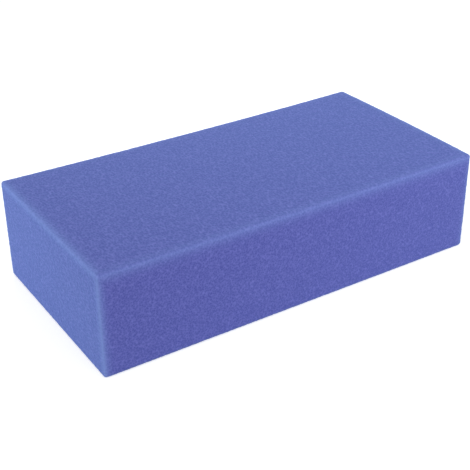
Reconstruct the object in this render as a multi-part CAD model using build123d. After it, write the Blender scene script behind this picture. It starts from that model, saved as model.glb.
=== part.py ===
"""Grooming sponge: one block of soft open-cell foam, sawn to shape.

Millimetres, +Z up. The block lies on its largest face, with its length along X
and its width along Y, and the origin is the middle of its base.
"""
import os

from build123d import *

# The sawn block, measured over its highest corners and over the bowed end
block_length = 200.0
block_width = 100.0
block_height = 50.0

# How far the blade leaves the soft foam out of true
near_top_sag = 0.4
far_top_sag = 0.8
end_bow = 0.7

# Rounding of the cut foam, softer on the upright edges that a hand grips
upright_edge_radius = 1.6
rim_radius = 1.3


def side_section(y, top_sag):
    """Upright section across the width at y: flat base, square ends, a top that sags in the middle."""
    half_length = block_length / 2
    left_top = (-half_length, y, block_height)
    left_base = (-half_length, y, 0)
    right_base = (half_length, y, 0)
    right_top = (half_length, y, block_height)
    sides = Polyline(left_top, left_base, right_base, right_top)
    top = ThreePointArc(right_top, (0, y, block_height - top_sag), left_top)
    return make_face(sides + top)


def plan_outline():
    """Outline seen from above: three straight cuts, the end that bows outwards, and rounded corners."""
    half_length = block_length / 2
    half_width = block_width / 2
    bowed_end = half_length - end_bow
    straight_cuts = Polyline(
        (bowed_end, half_width),
        (-half_length, half_width),
        (-half_length, -half_width),
        (bowed_end, -half_width),
    )
    bowed_cut = ThreePointArc((bowed_end, -half_width), (half_length, 0), (bowed_end, half_width))
    outline = make_face(straight_cuts + bowed_cut)
    return fillet(outline.vertices(), upright_edge_radius)


def foam_block():
    """The block: slab with the sagging top, trimmed to the plan outline, then softened round both rims."""
    near_section = side_section(-block_width / 2, near_top_sag)
    far_section = side_section(block_width / 2, far_top_sag)
    slab = loft([near_section, far_section], ruled=True)
    block = extrude(plan_outline(), block_height) & slab
    top = block.faces().sort_by(Axis.Z)[-1]
    block = fillet(top.edges(), rim_radius)
    base = block.faces().sort_by(Axis.Z)[0]
    return fillet(base.edges(), rim_radius)


os.makedirs("parts", exist_ok=True)
export_step(foam_block(), "parts/foam_block.step")
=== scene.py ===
import math

import bmesh
import bpy
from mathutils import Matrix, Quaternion, Vector


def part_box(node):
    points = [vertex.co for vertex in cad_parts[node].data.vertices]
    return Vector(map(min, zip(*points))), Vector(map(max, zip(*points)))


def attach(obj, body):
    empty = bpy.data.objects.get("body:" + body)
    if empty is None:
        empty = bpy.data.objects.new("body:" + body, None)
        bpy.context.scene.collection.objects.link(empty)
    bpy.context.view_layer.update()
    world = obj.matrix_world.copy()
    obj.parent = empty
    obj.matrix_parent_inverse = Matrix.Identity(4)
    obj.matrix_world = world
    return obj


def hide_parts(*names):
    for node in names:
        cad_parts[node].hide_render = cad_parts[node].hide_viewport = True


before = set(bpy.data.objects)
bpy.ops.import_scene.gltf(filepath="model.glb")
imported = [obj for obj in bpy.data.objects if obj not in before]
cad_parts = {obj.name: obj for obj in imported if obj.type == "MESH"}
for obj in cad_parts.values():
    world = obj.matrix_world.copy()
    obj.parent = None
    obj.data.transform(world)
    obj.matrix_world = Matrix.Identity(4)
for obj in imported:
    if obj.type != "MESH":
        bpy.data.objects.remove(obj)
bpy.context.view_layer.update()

# Foam block: the whole sponge, one rectangular piece of open-cell polyurethane foam, dyed blue right
# through. It is sawn from a larger block, so every face is a cut with its cells laid open, and the
# blade and later handling leave soft edges, rounder corners and a top that sags a little.
block_low, block_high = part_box("foam_block")
block_size = block_high - block_low
block_middle = (block_low + block_high) / 2
tile_side = 0.010
tile_cuts = 10

bpy.ops.object.select_all(action="DESELECT")
bpy.ops.mesh.primitive_cube_add(size=1.0, location=block_middle, scale=block_size)
foam = bpy.context.object
foam.name = "sawn_foam"
bpy.ops.object.transform_apply(location=True, rotation=True, scale=True)

# The sides are cut into tiles along the length, the width and the height, and then each tile finely
bpy.ops.object.mode_set(mode="EDIT")
bpy.ops.mesh.select_mode(type="EDGE")
for axis in range(3):
    bpy.ops.mesh.select_all(action="DESELECT")
    sides_mesh = bmesh.from_edit_mesh(foam.data)
    for edge in sides_mesh.edges:
        run = edge.verts[1].co - edge.verts[0].co
        edge.select_set(abs(run[axis]) > block_size[axis] / 2)
    bmesh.update_edit_mesh(foam.data)
    bpy.ops.mesh.subdivide(number_cuts=round(block_size[axis] / tile_side) - 1)
bpy.ops.mesh.select_all(action="SELECT")
bpy.ops.mesh.subdivide(number_cuts=tile_cuts)
bpy.ops.object.mode_set(mode="OBJECT")

# The fine mesh is laid on the solid, its grid is broken up, and the cut cells get their relief
cell_wander = 0.00024
wander_margin = 0.0025
wander_seed = 11
cell_relief = 0.00007
relief_seed = 29


def lay_on_solid(piece):
    """Brings every point of the piece to the sawn solid, with its sag, bow and rounded edges."""
    wrap = piece.modifiers.new("lay on solid", "SHRINKWRAP")
    wrap.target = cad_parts["foam_block"]
    wrap.wrap_method = "NEAREST_SURFACEPOINT"
    bpy.ops.object.modifier_apply(modifier=wrap.name)


def edge_gap(point):
    """How far a point on a face lies from the block's nearest edge: its gap to the next face round it."""
    gaps = [min(point[i] - block_low[i], block_high[i] - point[i]) for i in range(3)]
    return sorted(gaps)[1]


def scatter_points(piece, amount, along_normal, margin, seed):
    """Moves the active piece's points a little, anyhow or along their normals, but none in the margin."""
    bpy.ops.object.mode_set(mode="EDIT")
    bpy.ops.mesh.select_mode(type="VERT")
    bpy.ops.mesh.select_all(action="DESELECT")
    points_mesh = bmesh.from_edit_mesh(piece.data)
    for vert in points_mesh.verts:
        vert.select_set(edge_gap(vert.co) >= margin)
    points_mesh.select_flush_mode()
    bmesh.update_edit_mesh(piece.data)
    bpy.ops.transform.vertex_random(offset=amount, uniform=0.0, normal=along_normal, seed=seed)
    bpy.ops.object.mode_set(mode="OBJECT")


lay_on_solid(foam)
scatter_points(foam, cell_wander, along_normal=0.0, margin=wander_margin, seed=wander_seed)
lay_on_solid(foam)
scatter_points(foam, cell_relief, along_normal=1.0, margin=0.0, seed=relief_seed)
bpy.ops.object.shade_smooth()

# Cut cells: the open pits are painted darker as their shade and the struts between them paler as lit, and
# each cell has a random tone of its own
pit_shade_blue = (0.042, 0.045, 0.275, 1.0)
lit_strut_blue = (0.184, 0.188, 0.572, 1.0)
cells_per_metre = (1250.0, 780.0, 1250.0)
cells_turn = (0.5, 0.7, 0.3)
pit_softness = 1.0
strut_reach = 0.2
strut_share = 0.15
tone_share = 0.1

foam_skin = bpy.data.materials.new("cut_blue_foam")
foam_skin.use_nodes = True
foam_tree = foam_skin.node_tree
foam_nodes = foam_tree.nodes
foam_links = foam_tree.links
shader = foam_nodes["Principled BSDF"]
foam_place = foam_nodes.new("ShaderNodeTexCoord").outputs["Object"]
cells = foam_nodes.new("ShaderNodeMapping")
cells.inputs["Rotation"].default_value = cells_turn
cells.inputs["Scale"].default_value = cells_per_metre
foam_links.new(foam_place, cells.inputs["Vector"])


def cell_pattern(feature):
    """A pattern of foam cells, each as large as the mapping makes it."""
    pattern = foam_nodes.new("ShaderNodeTexVoronoi")
    pattern.feature = feature
    pattern.inputs["Scale"].default_value = 1.0
    foam_links.new(cells.outputs["Vector"], pattern.inputs["Vector"])
    return pattern


def ramp(tree, value, start, end, reach=1.0):
    """Goes evenly from start to end while the value goes from 0 to reach, and stays there beyond."""
    node = tree.nodes.new("ShaderNodeMapRange")
    node.inputs["From Max"].default_value = reach
    node.inputs["To Min"].default_value = start
    node.inputs["To Max"].default_value = end
    tree.links.new(value, node.inputs["Value"])
    return node.outputs["Result"]


def blend(first, second, share):
    """Two grey patterns in one, in which the second has the given share."""
    node = foam_nodes.new("ShaderNodeMix")
    node.inputs["Factor"].default_value = share
    foam_links.new(first, node.inputs["A"])
    foam_links.new(second, node.inputs["B"])
    return node.outputs["Result"]


pits = cell_pattern("SMOOTH_F1")
pits.inputs["Smoothness"].default_value = pit_softness
cell_tone = foam_nodes.new("ShaderNodeSeparateColor")
foam_links.new(pits.outputs["Color"], cell_tone.inputs["Color"])
struts = cell_pattern("DISTANCE_TO_EDGE")
strut_lines = ramp(foam_tree, struts.outputs["Distance"], 1.0, 0.0, strut_reach)
cut_face = blend(pits.outputs["Distance"], strut_lines, strut_share)
grain = blend(cut_face, cell_tone.outputs["Red"], tone_share)

# Painted shade and light: the pit blue darkens the open pits as shade and the strut blue lightens the
# struts as lit
cut_colour_with_pit_shade = foam_nodes.new("ShaderNodeMix")
cut_colour_with_pit_shade.data_type = "RGBA"
cut_colour_with_pit_shade.inputs["A"].default_value = pit_shade_blue
cut_colour_with_pit_shade.inputs["B"].default_value = lit_strut_blue
foam_links.new(grain, cut_colour_with_pit_shade.inputs["Factor"])

# Painted light: the colour is painted paler along the upright edges and the rims of the top, standing in
# for light that comes through the thin foam there and for the sheen the rounded edges lose; the bands below
# the rims fade down the sides, so the sides are painted lighter towards the top, and the edges along the
# base, where that light doesn't reach, stay plain
painted_edge_light_blue = (0.224, 0.337, 0.705, 1.0)
edge_fall = 3.0
upright_inset = (0.0003, 0.0005)
upright_reach = (0.0058, 0.0046, math.inf)
upright_light = 0.62
end_rim_drop = 0.00035
end_rim_reach = (0.0072, math.inf, 0.0052)
end_rim_light = 0.56
side_rim_drop = 0.00095
side_rim_reach = (math.inf, 0.0070, 0.0082)
side_rim_light = 0.355

left_end, near_side, base = block_low
right_end, far_side, top = block_high
painted_light_edges = []
for end, inwards in ((left_end, 1.0), (right_end, -1.0)):
    for side, sidewards in ((near_side, 1.0), (far_side, -1.0)):
        upright = (end + inwards * upright_inset[0], side + sidewards * upright_inset[1], base)
        painted_light_edges.append((upright, upright_reach, upright_light))
    painted_light_edges.append(((end, near_side, top - end_rim_drop), end_rim_reach, end_rim_light))
for side in (near_side, far_side):
    painted_light_edges.append(((left_end, side, top - side_rim_drop), side_rim_reach, side_rim_light))


def paint_edge_light(start, reach, light):
    """Painted light on a line from start, gone at the reach from it, which is infinite along the line
    itself.
    """
    off_line = foam_nodes.new("ShaderNodeVectorMath")
    off_line.operation = "MULTIPLY_ADD"
    off_line.inputs[1].default_value = [1 / far for far in reach]
    off_line.inputs[2].default_value = [-at / far for at, far in zip(start, reach)]
    foam_links.new(foam_place, off_line.inputs[0])
    reach_used = foam_nodes.new("ShaderNodeVectorMath")
    reach_used.operation = "LENGTH"
    foam_links.new(off_line.outputs["Vector"], reach_used.inputs[0])
    painted_paleness = foam_nodes.new("ShaderNodeMath")
    painted_paleness.operation = "POWER"
    painted_paleness.inputs[1].default_value = edge_fall
    even_fall = ramp(foam_tree, reach_used.outputs["Value"], light ** (1 / edge_fall), 0.0)
    foam_links.new(even_fall, painted_paleness.inputs[0])
    return painted_paleness.outputs["Value"]


def larger_of(tree, first, second):
    """The larger of two values."""
    node = tree.nodes.new("ShaderNodeMath")
    node.operation = "MAXIMUM"
    tree.links.new(first, node.inputs[0])
    tree.links.new(second, node.inputs[1])
    return node.outputs["Value"]


painted_edge_light_share = paint_edge_light(*painted_light_edges[0])
for painted_light_edge in painted_light_edges[1:]:
    painted_edge_light_share = larger_of(foam_tree, painted_edge_light_share, paint_edge_light(*painted_light_edge))
# Painted light: the paler edge blue is mixed into the foam's colour along the edges
colour_with_painted_light = foam_nodes.new("ShaderNodeMix")
colour_with_painted_light.data_type = "RGBA"
colour_with_painted_light.inputs["B"].default_value = painted_edge_light_blue
foam_links.new(painted_edge_light_share, colour_with_painted_light.inputs["Factor"])
foam_links.new(cut_colour_with_pit_shade.outputs["Result"], colour_with_painted_light.inputs["A"])
foam_links.new(colour_with_painted_light.outputs["Result"], shader.inputs["Base Color"])

# Finish: matt pits, struts a little smoother, and a soft sheen from the cut ends of the struts
pit_roughness = 1.0
strut_roughness = 0.86
pit_depth = 0.00012
pit_depth_strength = 0.5
gloss_level = 0.1
sheen_weight = 0.67
sheen_roughness = 0.5
sheen_tint = (0.283, 0.552, 1.0, 1.0)

foam_links.new(ramp(foam_tree, grain, pit_roughness, strut_roughness), shader.inputs["Roughness"])
relief = foam_nodes.new("ShaderNodeBump")
relief.inputs["Strength"].default_value = pit_depth_strength
relief.inputs["Distance"].default_value = pit_depth
foam_links.new(grain, relief.inputs["Height"])
foam_links.new(relief.outputs["Normal"], shader.inputs["Normal"])
shader.inputs["Specular IOR Level"].default_value = gloss_level
shader.inputs["Sheen Weight"].default_value = sheen_weight
shader.inputs["Sheen Roughness"].default_value = sheen_roughness
shader.inputs["Sheen Tint"].default_value = sheen_tint
foam.data.materials.append(foam_skin)

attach(foam, "root")
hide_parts("foam_block")

# Floor: a plain white table top under soft studio light. It is drawn white for the camera, and its
# own lit surface still takes the sponge's shadow and throws light back on the sides.
floor_side = 6.0
floor_white = 0.8
floor_lift = 0.42

bpy.ops.object.select_all(action="DESELECT")
bpy.ops.mesh.primitive_plane_add(size=floor_side, location=(0.0, 0.0, block_low.z))
floor = bpy.context.object
floor.name = "white_floor"
bpy.ops.object.transform_apply(location=True, rotation=True, scale=True)
floor_paint = bpy.data.materials.new("white_table")
floor_paint.use_nodes = True
floor_tree = floor_paint.node_tree
floor_nodes = floor_tree.nodes
floor_links = floor_tree.links
floor_nodes.clear()


def seen_white(tree):
    """1 for a ray that shows the surface to the camera, straight or by reflection, and 0 for its light."""
    path = tree.nodes.new("ShaderNodeLightPath")
    seen = path.outputs["Is Camera Ray"]
    for ray in ("Is Glossy Ray", "Is Transmission Ray"):
        seen = larger_of(tree, seen, path.outputs[ray])
    return seen


table_white = floor_nodes.new("ShaderNodeBsdfDiffuse")
table_white.inputs["Color"].default_value = (floor_white, floor_white, floor_white, 1.0)
glow = floor_nodes.new("ShaderNodeEmission")
floor_links.new(ramp(floor_tree, seen_white(floor_tree), 0.0, floor_lift), glow.inputs["Strength"])
both = floor_nodes.new("ShaderNodeAddShader")
floor_links.new(table_white.outputs["BSDF"], both.inputs[0])
floor_links.new(glow.outputs["Emission"], both.inputs[1])
floor_out = floor_nodes.new("ShaderNodeOutputMaterial")
floor_links.new(both.outputs["Shader"], floor_out.inputs["Surface"])
floor.data.materials.append(floor_paint)

# Studio light: a pale dome all round and one broad soft lamp from the left, above the viewer. Three small
# near lamps fill the right end of the front, light the back, and light the left end from low down.
dome_level = 0.4
dome_white = 1.0
lamp_level = 1.662
lamp_spread = math.radians(70)
lamp_azimuth = math.radians(-40)
lamp_elevation = math.radians(50)

studio = bpy.data.worlds.new("studio")
bpy.context.scene.world = studio
studio.use_nodes = True
dome_tree = studio.node_tree
dome = dome_tree.nodes["Background"]
dome.inputs["Color"].default_value = (1.0, 1.0, 1.0, 1.0)
dome_strength = ramp(dome_tree, seen_white(dome_tree), dome_level, dome_white)
dome_tree.links.new(dome_strength, dome.inputs["Strength"])


def towards(azimuth, elevation):
    """Unit vector from the sponge to what is seen at that azimuth and elevation, azimuth 0 being -Y."""
    level = math.cos(elevation)
    return Vector((math.sin(azimuth) * level, -math.cos(azimuth) * level, math.sin(elevation)))


def turn_back(thing, back):
    """Turns a lamp or camera so that its back points along the vector, with its upper side up."""
    thing.rotation_mode = "QUATERNION"
    thing.rotation_quaternion = back.to_track_quat("Z", "Y")


def near_lamp(name, place, aim, side, watts):
    """A small square lamp that shines from its place at its aim and isn't itself in the picture."""
    bpy.ops.object.light_add(type="AREA", location=place)
    small_lamp = bpy.context.object
    small_lamp.name = name
    small_lamp.data.energy = watts
    small_lamp.data.size = side
    small_lamp.visible_camera = False
    turn_back(small_lamp, Vector(place) - Vector(aim))


bpy.ops.object.light_add(type="SUN", location=towards(lamp_azimuth, lamp_elevation))
broad_lamp = bpy.context.object
broad_lamp.name = "broad_lamp"
broad_lamp.data.energy = lamp_level
broad_lamp.data.angle = lamp_spread
turn_back(broad_lamp, towards(lamp_azimuth, lamp_elevation))

near_lamp("fill_lamp", place=(0.12, -0.25, 0.15), aim=(0.05, -0.05, 0.03), side=0.20, watts=0.174)
near_lamp("back_lamp", place=(0.10, 0.35, 0.16), aim=(0.0, 0.0, 0.03), side=0.20, watts=0.426)
near_lamp("end_lamp", place=(-0.38, 0.20, 0.045), aim=(-0.10, 0.0, 0.03), side=0.09, watts=0.315)

# Camera: a long lens above the sponge and to its left, which is the view of the photograph. Its place, turn
# and lens were worked out from the seven corners of the block that show, and from the outline between them.
camera_place = (-0.23635, -0.36505, 0.26090)
camera_azimuth = math.radians(-32.497)
camera_elevation = math.radians(29.646)
camera_roll = math.radians(0.615)
camera_lens = 78.60
nearest_seen = 0.01

camera_data = bpy.data.cameras.new("photo_view")
camera_data.lens = camera_lens
camera_data.clip_start = nearest_seen
camera = bpy.data.objects.new("photo_view", camera_data)
bpy.context.scene.collection.objects.link(camera)
camera.location = camera_place
turn_back(camera, towards(camera_azimuth, camera_elevation))
level_view = camera.rotation_quaternion.copy()
camera.rotation_quaternion = level_view @ Quaternion((0.0, 0.0, 1.0), -camera_roll)
bpy.context.scene.camera = camera
bpy.context.scene.view_settings.view_transform = "Standard"
